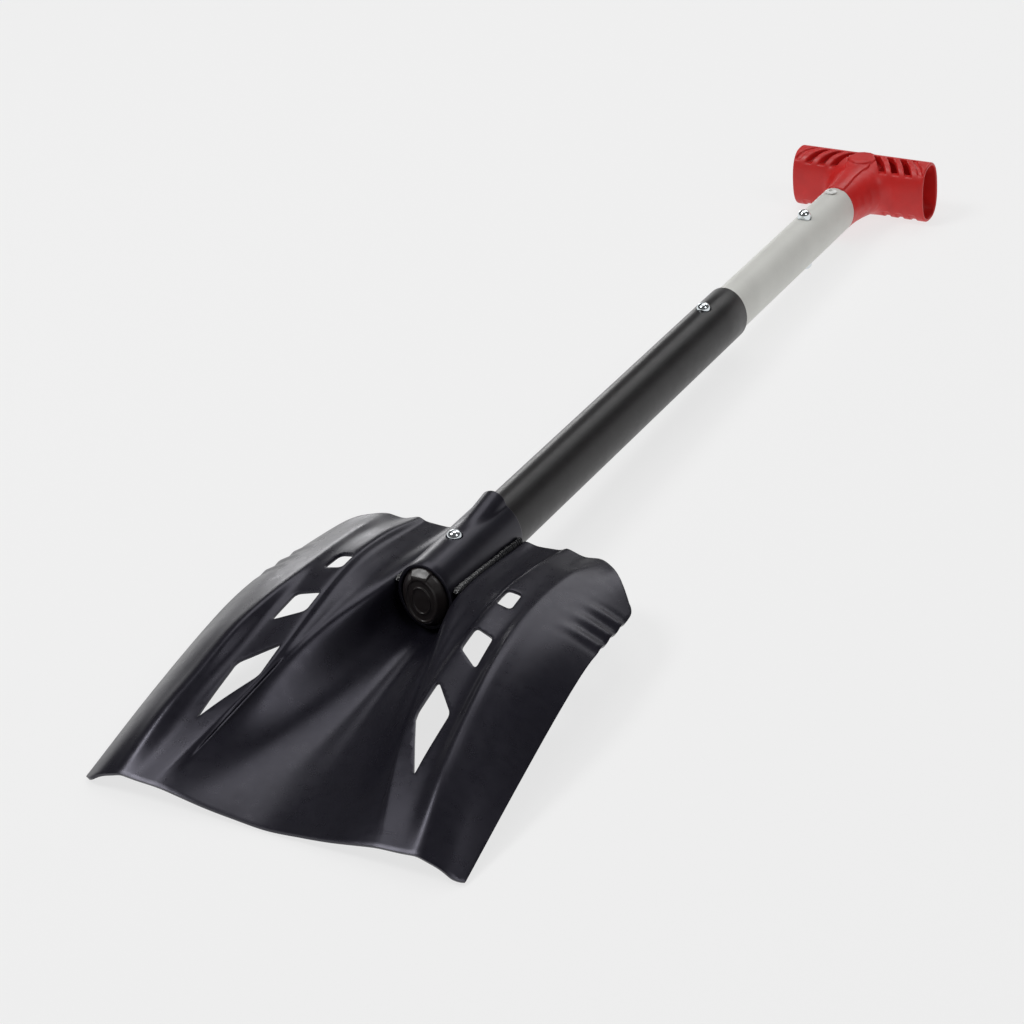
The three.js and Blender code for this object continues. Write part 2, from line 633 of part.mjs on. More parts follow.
// Laid scoop down: tipped until the front corners and the grip stand at one height,
// then centred over its own footprint.
const shovel = new THREE.Group();
shovel.add(blade, lowerShaft, upperShaft);
const bladeBox = new THREE.Box3().setFromObject(blade, true);
const restRise = -GRIP_HALF_HEIGHT - bladeBox.min.z;
shovel.rotation.x = -Math.atan(restRise / (GRIP_Y - bladeBox.min.y));
const footprint = new THREE.Box3().setFromObject(shovel, true);
const middle = footprint.getCenter(new THREE.Vector3());
shovel.position.set(-middle.x, -middle.y, -footprint.min.z);

export default shovel;
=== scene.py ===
import json
import math

import bmesh
import bpy
import numpy as np
from mathutils import Matrix, Vector
from mathutils.geometry import delaunay_2d_cdt


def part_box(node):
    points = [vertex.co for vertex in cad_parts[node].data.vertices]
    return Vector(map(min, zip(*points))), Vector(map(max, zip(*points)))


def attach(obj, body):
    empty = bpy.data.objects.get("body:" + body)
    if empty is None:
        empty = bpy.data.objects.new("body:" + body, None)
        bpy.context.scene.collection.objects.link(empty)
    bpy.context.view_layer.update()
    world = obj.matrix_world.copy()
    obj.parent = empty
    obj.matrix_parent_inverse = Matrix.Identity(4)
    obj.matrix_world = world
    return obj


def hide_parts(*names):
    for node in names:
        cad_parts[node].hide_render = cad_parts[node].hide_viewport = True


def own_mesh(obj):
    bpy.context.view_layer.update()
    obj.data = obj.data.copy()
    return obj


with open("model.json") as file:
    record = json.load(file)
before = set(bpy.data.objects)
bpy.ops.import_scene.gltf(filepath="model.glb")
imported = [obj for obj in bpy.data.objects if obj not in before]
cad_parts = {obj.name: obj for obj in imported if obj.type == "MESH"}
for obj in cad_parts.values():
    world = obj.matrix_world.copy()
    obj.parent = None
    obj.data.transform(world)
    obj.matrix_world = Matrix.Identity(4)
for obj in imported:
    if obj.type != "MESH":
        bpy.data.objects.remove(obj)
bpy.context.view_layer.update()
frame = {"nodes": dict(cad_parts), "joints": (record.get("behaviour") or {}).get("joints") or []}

# Lengths below are millimetres in the shaft frame: x across the blade, y along the shaft
# from the blade's back edge to the grip, z out of the blade's back, shaft axis at z = 0.

MM = 0.001
JOINTS = {joint["name"]: joint for joint in frame["joints"]}


def box_size(node):
    low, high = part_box(node)
    return (high - low) / MM


ALONG = Vector(JOINTS["shaft_telescope"]["axis"]).normalized()
UP = Vector((0, -ALONG.z, ALONG.y))
LOWER_MIDDLE_Y = 120.0
SHAFT_LOW, SHAFT_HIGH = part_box("lower_shaft")
ORIGIN = (SHAFT_LOW + SHAFT_HIGH) / 2 - ALONG * LOWER_MIDDLE_Y * MM
TURN = Matrix(((1, 0, 0), (0, ALONG.y, UP.y), (0, ALONG.z, UP.z)))
TO_ROW = Matrix.Translation(ORIGIN) @ TURN.to_4x4() @ Matrix.Diagonal((MM, MM, MM, 1))

# ---------------------------------------------------------------- sizes

WALL = 1.4
CLEARANCE = 0.4
LOWER = (box_size("lower_shaft").x / 2, 18.7)
UPPER = (LOWER[0] - WALL - CLEARANCE, LOWER[1] - WALL - CLEARANCE)
SOCKET_WALL = 2.0
SOCKET = (LOWER[0] + CLEARANCE + SOCKET_WALL, LOWER[1] + CLEARANCE + SOCKET_WALL)
SOCKET_ENDS = (-77.5, 4.6)
LOWER_ENDS = (-76.0, 316.0)
UPPER_ENDS = (262.0, 495.5)
LEAD_IN = {"start": -26.5, "start_radius": 8.7, "start_height": 12.4,
           "mouth_radius": 8.5, "mouth_height": 17.9}
BUTTON_RADIUS = box_size("socket_button").x / 2
BUTTON_HOLE = 5.0
BUTTON_PROUD = 5.5
BUTTON_SHANK = 4.2
DOME_DEPTH = 3.9
SPRING_THICKNESS = 0.8
SPRING_HALF_WIDTH = 4.0
SPRING_LENGTH = 42.0
SPRING_BEND_RADIUS = 6.0
SOCKET_BUTTON_Y = -41.0
EXTENDED_BUTTON_Y = 283.0
STOWED_BUTTON_Y = 441.5
RIVET_Y = 487.0
RIVET_HEAD = box_size("grip_rivet_top").x / 2
RIVET_BORE = 1.4
RIVET_SHANK = 2.4
RIVET_SHANK_END = 9
PLUG_FACE_Y = -82.5
KEY_BACK_Y = -77.3
KEY_HALF_WIDTH = 6.6
GRIP_Y = 545.6
GRIP_HALF = (box_size("grip").x / 2 - 0.03, 14.7, 21.55)
GRIP_POWER = 2.5
GRIP_WALL = 2.2
GRIP_WEB = 14.0
# Each slot's middle and width across the grip, and the height of its lower end.
GRIP_SLOTS = [(21, 5.2, 14.6), (31, 5.2, 14.6), (41, 5.2, 14.6)]
SLOT_SLANT = 0.7
SLOT_BACK = 3.0
NOTCH_DEPTH = 1.0
NOTCH_TOP = -14
NOTCH_BACK = 8
DIMPLE_AT = 50.5
SPINE_LIFT = 1.1
BADGE_GROOVE = 1.0
BLADE_LENGTH = 252.0
BLADE_THICKNESS = 2.0

# The blade's feature lines from the middle outwards, each from the back edge to the front
# edge: [distance, half-width, height]. In the flat they lie LINE_PITCH apart.
LINE_PITCH = 12.0
BLADE_LINES = [
    [[0, 0, -22.6], [78, 0, -22.8], [130, 0, -29], [190, 0, -38], [252, 0, -45.6]],
    [[0, 7.6, -20.8], [78, 8, -20.8], [130, 8, -28], [190, 14, -37.2], [252, 22, -43.9]],
    [[0, 17.8, -12.4], [78, 18.6, -10.4], [130, 20.5, -20], [190, 30, -32], [252, 40, -42]],
    [[0, 20.8, -1], [78, 21.4, 5], [130, 34, -2.4], [190, 46, -20], [252, 58, -39.2]],
    [[0, 31, -2], [78, 35, 7.4], [130, 40, 0.6], [190, 52, -16.2], [252, 64, -38.2]],
    [[0, 45.4, -1.4], [70, 46, 9.8], [130, 45.4, 1.2], [190, 50.5, -14.2], [252, 69, -37.5]],
    [[0, 50, 1.1], [35, 50, 9.4], [70, 50, 12.9], [106, 49.6, 9], [150, 48.8, -1.4],
     [178, 50, -9], [200, 54.5, -15.6], [252, 73, -37.2]],
    [[0, 61, -2.6], [35, 63, 7.6], [84, 66, 10.6], [125, 69, 4.6], [165, 73, -5.8],
     [205, 77, -17.4], [252, 84, -36.7]],
    [[0, 73, -1], [35, 72, 7.6], [94, 73, 11], [144, 78.6, 7], [184, 83.4, -5],
     [214, 88.6, -16], [252, 95, -35.8]],
    [[0, 90, -3], [35, 92, -1], [94, 94, 2.5], [144, 99, -4], [184, 103, -15.5],
     [214, 106.5, -26], [252, 109, -40.4]],
    [[0, 107, -13], [32, 108.6, -12], [84, 112, -8.9], [120, 114.6, -12.8],
     [184, 118.2, -28.4], [252, 121.4, -48.4]],
]
LAST_LINE = len(BLADE_LINES) - 1
# Corners of the right half's holes: (half-width, distance).
BLADE_HOLES = [
    [(50.5, 69.5), (50.5, 84.3), (61.9, 86.4), (60.3, 69.6)],
    [(50.5, 105.9), (50.5, 123.5), (66.7, 135.6), (64.5, 111)],
    [(50.5, 148.5), (50.5, 174), (70, 210.5), (68.9, 168.1)],
]
# Where a cut-off corner starts, its width, and how far it draws the edge in.
BACK_CORNER = (70.0, 38.0, 32.0)
FRONT_CORNER = (114.0, 8.0, 4.5)
# Half-width where the back edge ends, distance where the side starts, and the turn between.
BACK_EDGE_END = 103.5
SIDE_START = 40.0
CORNER_TURN = 31.5
HOLE_CORNER_RADIUS = 3.4
BLADE_GRID_ACROSS = (-119.2, 119.3, 1.6)
BLADE_GRID_ALONG = (1.2, 251, 1.7)
FOLD_START = 47.0
FOLD_PITCH = 14.0
FOLD_LEAN = 0.21
FOLD_HEIGHT = 0.75
WELD_LINE = 3
WELD_ENDS = (SOCKET_ENDS[0] + 3.0, 1.5)
WELD_RADIUS = 1.9
WELD_PITCH = 1.7
ROUND_STEPS = 64


def step_up(value, low, high):
    t = np.clip((value - low) / (high - low), 0, 1)
    return t * t * (3 - 2 * t)


# ---------------------------------------------------------------- mesh helpers

def new_object(name, vertices, faces):
    mesh = bpy.data.meshes.new(name)
    mesh.from_pydata(np.asarray(vertices, float).tolist(), [], [list(map(int, f)) for f in faces])
    mesh.update()
    thing = bpy.data.objects.new(name, mesh)
    bpy.context.scene.collection.objects.link(thing)
    return thing


def apply_modifiers(thing):
    depsgraph = bpy.context.evaluated_depsgraph_get()
    depsgraph.update()
    mesh = bpy.data.meshes.new_from_object(thing.evaluated_get(depsgraph))
    thing.modifiers.clear()
    thing.data = mesh


def finish_piece(thing, body, nodes, material, sharp=35):
    """Moves a piece made in the shaft frame to the row frame and ties it to its body."""
    thing.data.transform(TO_ROW)
    thing.data.polygons.foreach_set("use_smooth", [True] * len(thing.data.polygons))
    thing.data.set_sharp_from_angle(angle=math.radians(sharp))
    thing.data.materials.clear()
    thing.data.materials.append(material)
    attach(thing, body)
    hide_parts(*nodes)
    return thing


def inside(points, polygon):
    """Which points lie inside a closed polygon."""
    x, y = points[:, 0:1], points[:, 1:2]
    x0, y0 = polygon[:, 0], polygon[:, 1]
    x1, y1 = np.roll(x0, -1), np.roll(y0, -1)
    crosses = (y0 > y) != (y1 > y)
    at = x0 + (y - y0) / np.where(y1 == y0, 1e-9, y1 - y0) * (x1 - x0)
    return (crosses & (x < at)).sum(1) % 2 == 1


def near(points, boundary, distance, batch=4000):
    """Which points lie closer to a boundary point than the distance."""
    flags = np.zeros(len(points), bool)
    for start in range(0, len(points), batch):
        part = points[start:start + batch]
        gap = np.linalg.norm(part[:, None] - boundary[None], axis=2).min(1)
        flags[start:start + batch] = gap < distance
    return flags


def pierced_sheet(name, outline, holes, grid, margin, surface, thickness, bevel=0.3):
    """A flat outline with holes, triangulated, bent onto surface() and thickened inwards."""
    boundary = np.vstack([outline] + holes)
    keep = inside(grid, outline) & ~near(grid, boundary, margin)
    for hole in holes:
        keep &= ~inside(grid, hole)
    points = np.vstack([boundary, grid[keep]])
    edges = []
    start = 0
    for ring in [outline] + holes:
        count = len(ring)
        edges += [(start + i, start + (i + 1) % count) for i in range(count)]
        start += count
    flat = [Vector(p) for p in points]
    corners, _, faces, *_ = delaunay_2d_cdt(flat, edges, [], 0, 1e-7)
    corners = np.array([tuple(c) for c in corners])
    faces = np.array([f[:3] for f in faces])
    middles = corners[faces].mean(1)
    shown = inside(middles, outline)
    for hole in holes:
        shown &= ~inside(middles, hole)
    thing = new_object(name, surface(corners), faces[shown])
    work = bmesh.new()
    work.from_mesh(thing.data)
    bmesh.ops.remove_doubles(work, verts=work.verts, dist=1e-3)
    loose = [v for v in work.verts if not v.link_faces]
    bmesh.ops.delete(work, geom=loose, context="VERTS")
    work.to_mesh(thing.data)
    work.free()
    shell = thing.modifiers.new("thickness", "SOLIDIFY")
    shell.thickness = thickness
    shell.offset = -1
    rim = thing.modifiers.new("rim", "BEVEL")
    rim.width = bevel
    rim.segments = 2
    rim.limit_method = "ANGLE"
    rim.angle_limit = math.radians(50)
    apply_modifiers(thing)
    return thing


def rounded(points, radius, steps=6):
    """Closed outline through corner points, each corner rounded off."""
    points = np.asarray(points, float)
    ring = []
    for i, corner in enumerate(points):
        before, after = points[i - 1], points[(i + 1) % len(points)]
        enter = corner + (before - corner) / np.linalg.norm(before - corner) * radius
        leave = corner + (after - corner) / np.linalg.norm(after - corner) * radius
        for t in np.linspace(0, 1, steps):
            ring.append((1 - t) ** 2 * enter + 2 * t * (1 - t) * corner + t * t * leave)
    return densify(np.array(ring), 2.0)


def densify(ring, spacing):
    """The closed ring with points added so that no side is longer than spacing."""
    out = []
    for a, b in zip(ring, np.roll(ring, -1, axis=0)):
        count = max(1, int(np.ceil(np.linalg.norm(b - a) / spacing)))
        out += [a + (b - a) * k / count for k in range(count)]
    return np.array(out)


def circle_angles(steps):
    return np.arange(steps) / steps * 2 * np.pi


def turned(name, profile, steps=ROUND_STEPS):
    """Turned piece about z from a profile of (radius, z), first and last on the axis."""
    vertices = [(0, 0, profile[0][1])]
    angles = circle_angles(steps)
    for radius, z in profile[1:-1]:
        vertices += [(radius * math.cos(a), radius * math.sin(a), z) for a in angles]
    vertices.append((0, 0, profile[-1][1]))
    faces = []
    rings = len(profile) - 2
    last = len(vertices) - 1
    for i in range(steps):
        j = (i + 1) % steps
        faces.append((0, 1 + j, 1 + i))
        for ring in range(rings - 1):
            a = 1 + ring * steps
            faces.append((a + i, a + j, a + steps + j, a + steps + i))
        top = 1 + (rings - 1) * steps
        faces.append((top + i, top + j, last))
    return new_object(name, vertices, faces)


# ---------------------------------------------------------------- implicit shapes

def surface_net(field, low, high, step):
    """Closed quad mesh of field < 0 inside a box, its points drawn onto the surface."""
    axes = [np.arange(low[i], high[i] + step, step) for i in range(3)]
    shape = tuple(len(a) for a in axes)
    x, y, z = np.meshgrid(*axes, indexing="ij")
    value = field(x, y, z)
    value = np.where(value == 0, 1e-6, value)
    sign = value < 0
    cell = tuple(n - 1 for n in shape)
    total = np.zeros(cell + (3,))
    count = np.zeros(cell)
    for axis in range(3):
        others = [k for k in range(3) if k != axis]
        near_end = [slice(None)] * 3
        far_end = [slice(None)] * 3
        near_end[axis] = slice(0, -1)
        far_end[axis] = slice(1, None)
        v0, v1 = value[tuple(near_end)], value[tuple(far_end)]
        change = sign[tuple(near_end)] != sign[tuple(far_end)]
        t = np.where(change, v0 / np.where(change, v0 - v1, 1), 0)
        for da in (0, 1):
            for db in (0, 1):
                part = [slice(None)] * 3
                part[others[0]] = slice(da, cell[others[0]] + da)
                part[others[1]] = slice(db, cell[others[1]] + db)
                hit = change[tuple(part)]
                count += hit
                total[..., axis] += np.where(hit, t[tuple(part)], 0)
                total[..., others[0]] += np.where(hit, da, 0)
                total[..., others[1]] += np.where(hit, db, 0)
    used = count > 0
    index = -np.ones(cell, int)
    index[used] = np.arange(used.sum())
    local = total[used] / count[used][:, None]
    vertices = np.array(low) + (np.argwhere(used) + local) * step
    return draw_onto(field, vertices, step), np.vstack(net_faces(sign, index))


def net_faces(sign, index):
    """Quads between the cells around every grid edge whose ends differ in sign."""
    faces = []
    for axis in range(3):
        others = [(axis + 1) % 3, (axis + 2) % 3]
        near_end = [slice(1, -1)] * 3
        far_end = [slice(1, -1)] * 3
        near_end[axis] = slice(0, -1)
        far_end[axis] = slice(1, None)
        s0, s1 = sign[tuple(near_end)], sign[tuple(far_end)]
        at = np.argwhere(s0 != s1)
        flip = s0[s0 != s1]
        base = at.copy()
        base[:, others[0]] += 1
        base[:, others[1]] += 1
        quad = []
        for da, db in ((0, 0), (1, 0), (1, 1), (0, 1)):
            where = base.copy()
            where[:, others[0]] -= 1 - da
            where[:, others[1]] -= 1 - db
            quad.append(index[tuple(where.T)])
        quad = np.array(quad).T
        quad[~flip] = quad[~flip][:, ::-1]
        faces.append(quad)
    return faces


def draw_onto(field, vertices, step, rounds=4, small=0.05, least_slope=0.05):
    """The points moved down the field's slope onto its zero surface."""
    for _ in range(rounds):
        f0 = field(*vertices.T)
        slope = np.array([
            field(*(vertices + small * np.eye(3)[k]).T) - f0 for k in range(3)
        ]).T / small
        move = f0[:, None] * slope / np.maximum((slope ** 2).sum(1), least_slope)[:, None]
        vertices = vertices - np.clip(move, -step / 2, step / 2)
    return vertices


def implicit_piece(name, field, low, high, step):
    vertices, faces = surface_net(field, low, high, step)
    return new_object(name, vertices, faces)


def smooth_min(a, b, k):
    """The lower of two fields, blended where they differ by less than k."""
    h = np.clip(0.5 + 0.5 * (b - a) / k, 0, 1)
    return b + (a - b) * h - k * h * (1 - h)


def smooth_max(a, b, k):
    return -smooth_min(-a, -b, k)


def oval_distance(x, z, half_x, half_z, power=2.0):
    """Near the outline, the distance to a superellipse; negative inside."""
    u, v = np.abs(x / half_x) + 1e-6, np.abs(z / half_z) + 1e-6
    rho = (u ** power + v ** power) ** (1 / power)
    slope = np.hypot(u ** (power - 1) / half_x, v ** (power - 1) / half_z) * rho ** (1 - power)
    return (rho - 1) / slope


# ---------------------------------------------------------------- materials

class Shader:
    """A node material built up from object-space noise, so it is fixed to the piece."""

    def __init__(self, name, color, roughness, metallic=0.0, specular=0.5):
        self.material = bpy.data.materials.new(name)
        self.material.use_nodes = True
        self.tree = self.material.node_tree
        self.shader = self.tree.nodes["Principled BSDF"]
        self.shader.inputs["Base Color"].default_value = (*color, 1)
        self.shader.inputs["Roughness"].default_value = roughness
        self.shader.inputs["Metallic"].default_value = metallic
        self.shader.inputs["Specular IOR Level"].default_value = specular
        self.color = color
        self.place = self.tree.nodes.new("ShaderNodeTexCoord").outputs["Object"]
        self.height = None

    def link(self, out, into):
        self.tree.links.new(out, into)

    def noise(self, scale, detail=3.0, stretch=(1, 1, 1), roughness=0.55):
        """Noise with features about 1 / scale metres across, stretched along the axes."""
        mapping = self.tree.nodes.new("ShaderNodeMapping")
        mapping.inputs["Scale"].default_value = [scale / s for s in stretch]
        self.link(self.place, mapping.inputs["Vector"])
        node = self.tree.nodes.new("ShaderNodeTexNoise")
        node.inputs["Scale"].default_value = 1.0
        node.inputs["Detail"].default_value = detail
        node.inputs["Roughness"].default_value = roughness
        self.link(mapping.outputs["Vector"], node.inputs["Vector"])
        return node.outputs["Fac"]

    def spread(self, value, low, high, from_low=0.35, from_high=0.65):
        node = self.tree.nodes.new("ShaderNodeMapRange")
        node.inputs["From Min"].default_value = from_low
        node.inputs["From Max"].default_value = from_high
        node.inputs["To Min"].default_value = low
        node.inputs["To Max"].default_value = high
        self.link(value, node.inputs["Value"])
        return node.outputs["Result"]

    def vary_color(self, value, darker, lighter):
        """Colour between two tints of the base, driven by a noise value."""
        ramp = self.tree.nodes.new("ShaderNodeMix")
        ramp.data_type = "RGBA"
        ramp.inputs["A"].default_value = (*[c * darker for c in self.color], 1)
        ramp.inputs["B"].default_value = (*[c * lighter for c in self.color], 1)
        self.link(self.spread(value, 0, 1), ramp.inputs["Factor"])
        self.link(ramp.outputs["Result"], self.shader.inputs["Base Color"])

    def ring(self, y, fade, color):
        """Another colour round the shaft from y to the end of the tube, mixed in over fade."""
        dot = self.tree.nodes.new("ShaderNodeVectorMath")
        dot.operation = "DOT_PRODUCT"
        dot.inputs[1].default_value = ALONG
        self.link(self.place, dot.inputs[0])
        start = (TO_ROW @ Vector((0, y, 0))).dot(ALONG)
        share = self.spread(dot.outputs["Value"], 0, 1, start, start + fade * MM)
        mix = self.tree.nodes.new("ShaderNodeMix")
        mix.data_type = "RGBA"
        mix.inputs["B"].default_value = (*color, 1)
        self.link(share, mix.inputs["Factor"])
        base = self.shader.inputs["Base Color"]
        self.link(base.links[0].from_socket, mix.inputs["A"])
        self.link(mix.outputs["Result"], base)

    def vary_roughness(self, value, low, high):
        self.link(self.spread(value, low, high), self.shader.inputs["Roughness"])

    def bump(self, value, depth_mm):
        node = self.tree.nodes.new("ShaderNodeBump")
        node.inputs["Distance"].default_value = depth_mm * MM
        self.link(value, node.inputs["Height"])
        if self.height is not None:
            self.link(self.height, node.inputs["Normal"])
        self.height = node.outputs["Normal"]
        self.link(self.height, self.shader.inputs["Normal"])


EVEN_TINT = (0.93, 1.08)
UNEVEN_TINT = (0.85, 1.2)


def anodised(name, color, roughness, specular, grain, tint=UNEVEN_TINT):
    """Anodised aluminium with a fine grain, its depth in millimetres."""
    shader = Shader(name, color, roughness, specular=specular)
    shader.vary_color(shader.noise(45, 4), *tint)
    shader.vary_roughness(shader.noise(160, 5), roughness - 0.02, roughness + 0.03)
    shader.bump(shader.noise(900, 3), grain)
    return shader


def drawn_tube(name, color, roughness, specular, grain, tint=UNEVEN_TINT):
    """Anodised tube with faint lines along its length from drawing."""
    shader = anodised(name, color, roughness, specular, grain, tint)
    shader.bump(shader.noise(1500, 2, stretch=(1, 60, 1)), grain * 0.8)
    return shader


def moulded(name, color, roughness, texture):
    """Moulded plastic with a spark-eroded texture, its depth in millimetres."""
    shader = Shader(name, color, roughness)
    shader.vary_color(shader.noise(70, 3), 0.93, 1.06)
    shader.vary_roughness(shader.noise(260, 3), roughness - 0.05, roughness + 0.07)
    shader.bump(shader.noise(1700, 2), texture)
    return shader


BLUISH_SHEEN = (0.86, 0.84, 1.0, 1)
BLADE_BLACK = anodised(
    "blade_black", (0.0080, 0.0075, 0.0120), 0.29, 0.42, 0.0004, EVEN_TINT)
SOCKET_BLACK = anodised(
    "socket_black", (0.0080, 0.0075, 0.0118), 0.31, 0.42, 0.0004, EVEN_TINT)
for tinted in (BLADE_BLACK, SOCKET_BLACK):
    tinted.shader.inputs["Specular Tint"].default_value = BLUISH_SHEEN
WELD_BLACK = anodised("weld_black", (0.006, 0.006, 0.008), 0.30, 0.42, 0.002)
SHAFT_BLACK = drawn_tube("shaft_black", (0.0105, 0.0094, 0.0100), 0.36, 0.36, 0.003)
# A light grey band, 0.45 mm long, round the black lower tube's upper end.
END_BAND_LENGTH = 0.45
SHAFT_BLACK.ring(LOWER_ENDS[1] - END_BAND_LENGTH, 0.1, (0.62, 0.62, 0.60))
SHAFT_GREY = drawn_tube("shaft_grey", (0.66, 0.66, 0.625), 0.5, 0.35, 0.010, tint=(0.97, 1.03))
GRIP_RED = moulded("grip_red", (0.58, 0.013, 0.011), 0.42, 0.012)
PLUG_BLACK = moulded("plug_black", (0.019, 0.015, 0.015), 0.34, 0.010)

BUTTON_ZINC = Shader("button_zinc", (0.78, 0.83, 0.86), 0.12, metallic=1.0)
BUTTON_ZINC.vary_roughness(BUTTON_ZINC.noise(900, 3), 0.07, 0.18)
BUTTON_ZINC.bump(BUTTON_ZINC.noise(1200, 2), 0.004)

RIVET_WHITE = Shader("rivet_white", (0.80, 0.80, 0.78), 0.32)
RIVET_WHITE.vary_color(RIVET_WHITE.noise(600, 3), 0.92, 1.03)
RIVET_WHITE.bump(RIVET_WHITE.noise(1600, 2), 0.01)

SPRING_STEEL = Shader("spring_steel", (0.32, 0.33, 0.35), 0.3, metallic=1.0)
SPRING_STEEL.vary_roughness(SPRING_STEEL.noise(700, 3, stretch=(1, 20, 1)), 0.22, 0.4)

MANDREL_STEEL = Shader("mandrel_steel", (0.10, 0.10, 0.11), 0.4, metallic=1.0)
MANDREL_STEEL.vary_roughness(MANDREL_STEEL.noise(1500, 3), 0.3, 0.5)


# ---------------------------------------------------------------- blade

def line_points(distance):
    """Every feature line's (half-width, height) at each distance."""
    out = np.zeros((len(distance), len(BLADE_LINES), 2))
    for number, line in enumerate(BLADE_LINES):
        line = np.array(line, float)
        last = len(line) - 1
        k = np.clip(np.searchsorted(line[1:-1, 0], distance, side="left"), 0, last - 1)
        before, start = line[np.maximum(k - 1, 0)], line[k]
        end, after = line[k + 1], line[np.minimum(k + 2, last)]
        span = end[:, 0] - start[:, 0]
        t = (distance - start[:, 0]) / span
        h01 = t * t * (3 - 2 * t)
        h10 = t * (1 - t) ** 2
        h11 = t * t * (t - 1)
        for axis in (1, 2):
            slope0 = (end[:, axis] - before[:, axis]) / (end[:, 0] - before[:, 0])
            slope1 = (after[:, axis] - start[:, axis]) / (after[:, 0] - start[:, 0])
            value = start[:, axis] * (1 - h01) + end[:, axis] * h01
            out[:, number, axis - 1] = value + span * (slope0 * h10 + slope1 * h11)
    return out


def section_point(place, lines):
    """(x, z) at a signed line number, smooth in the channel and wings, creased between."""
    mirrored = lines[:, :0:-1] * np.array([-1, 1])
    control = np.concatenate([mirrored, lines], axis=1)
    rows = np.arange(len(place))
    last = control.shape[1] - 1
    at = np.clip(place + LAST_LINE, 0, last)
    k = np.clip(np.floor(at).astype(int), 0, last - 1)
    t = (at - k)[:, None]
    p0, p1 = control[rows, np.maximum(k - 1, 0)], control[rows, k]
    p2, p3 = control[rows, k + 1], control[rows, np.minimum(k + 2, last)]
    v0, v1 = (p2 - p0) / 2, (p3 - p1) / 2
    cubic = 2 * (p1 - p2) + v0 + v1
    square = 3 * (p2 - p1) - 2 * v0 - v1
    smooth = cubic * t ** 3 + square * t ** 2 + v0 * t + p1
    creased = np.zeros_like(smooth)
    taps = np.linspace(-0.24, 0.24, 9)
    for tap in taps:
        where = np.clip(at + tap, 0, last)
        j = np.clip(np.floor(where).astype(int), 0, last - 1)
        f = (where - j)[:, None]
        creased += (control[rows, j] * (1 - f) + control[rows, j + 1] * f) / len(taps)
    side = np.abs(place)
    weight = (step_up(side, 3.9, 4.7) * (1 - step_up(side, 8.3, 9.2)))[:, None]
    return smooth * (1 - weight) + creased * weight


def back_edge(half_width):
    """Distance of the blade's back edge."""
    start, width, depth = BACK_CORNER
    return depth * np.clip((half_width - start) / width, 0, 1) ** 1.5


def front_edge(half_width):
    """Distance of the blade's front edge."""
    start, width, depth = FRONT_CORNER
    return BLADE_LENGTH - depth * np.clip((half_width - start) / width, 0, 1) ** 2


def blade_relief(x, distance):
    """Draw wrinkles at the back corners, as a small height over the smooth surface."""
    half = np.abs(x)
    fold = distance + FOLD_LEAN * (half - 112) - FOLD_START
    reach = step_up(half, 82, 108) * step_up(fold, -11, -2) * (1 - step_up(fold, 24, 42))
    return FOLD_HEIGHT * np.cos(2 * np.pi * fold / FOLD_PITCH) * reach


def blade_surface(flat):
    """Points of the flat (line number times LINE_PITCH, minus distance) on the blade's back."""
    place, distance = flat[:, 0] / LINE_PITCH, flat[:, 1] * -1
    across = section_point(place, line_points(distance))
    height = across[:, 1] + blade_relief(across[:, 0], distance)
    return np.stack([across[:, 0], -distance, height], 1)


def to_flat(x, distance, halvings=40):
    """The place in the flat of points given by x and distance, found by bisection."""
    lines = line_points(distance)
    low = np.full(len(x), -float(LAST_LINE))
    high = np.full(len(x), float(LAST_LINE))
    for _ in range(halvings):
        middle = (low + high) / 2
        below = section_point(middle, lines)[:, 0] < x
        low = np.where(below, middle, low)
        high = np.where(below, high, middle)
    return np.stack([(low + high) / 2 * LINE_PITCH, -distance], 1)


def blade_outline():
    """Closed outline in the flat: back edge, right side, front edge and left side."""
    side = LAST_LINE * LINE_PITCH
    half = np.linspace(0, 1, 71) ** 0.8 * BACK_EDGE_END
    back = np.concatenate([-half[:0:-1], half])
    back_ring = to_flat(back, back_edge(np.abs(back)))
    front_half = np.concatenate([np.linspace(0, 112, 60), np.linspace(113, 121.3, 16)])
    front = np.concatenate([-front_half[:0:-1], front_half])
    front_ring = to_flat(front, front_edge(np.abs(front)))
    edge = np.linspace(SIDE_START, BLADE_LENGTH - FRONT_CORNER[2] - 1.5, 120)
    right_side = np.stack([np.full(len(edge), side), -edge], 1)
    left_side = np.stack([np.full(len(edge), -side), -edge[::-1]], 1)
    t = np.linspace(0, 1, 12)[1:-1, None]
    start, end = back_ring[-1], right_side[0]
    corner = np.array([side, -CORNER_TURN])
    turn = (1 - t) ** 2 * start + 2 * t * (1 - t) * corner + t * t * end
    mirrored = turn[::-1] * np.array([-1, 1])
    return np.vstack([back_ring, turn, right_side, front_ring[::-1], left_side, mirrored])


def blade_holes():
    holes = []
    for corners in BLADE_HOLES:
        ring = rounded(corners, HOLE_CORNER_RADIUS)
        for sign in (1, -1):
            holes.append(to_flat(sign * ring[:, 0], ring[:, 1]))
    return holes


def make_blade():
    """The pressed sheet, its back on blade_surface()."""
    u, v = np.meshgrid(np.arange(*BLADE_GRID_ACROSS), np.arange(*BLADE_GRID_ALONG))
    grid = np.stack([u.ravel(), -v.ravel()], 1)
    return pierced_sheet("blade_sheet", blade_outline(), blade_holes(), grid, 0.9,
                         blade_surface, BLADE_THICKNESS, bevel=0.35)


finish_piece(make_blade(), "blade_unit", ["blade"], BLADE_BLACK.material)


# ---------------------------------------------------------------- tubes

def oval_radius(angle, half):
    """Distance from the axis to an ellipse in the direction of an angle."""
    return 1 / np.hypot(np.cos(angle) / half[0], np.sin(angle) / half[1])


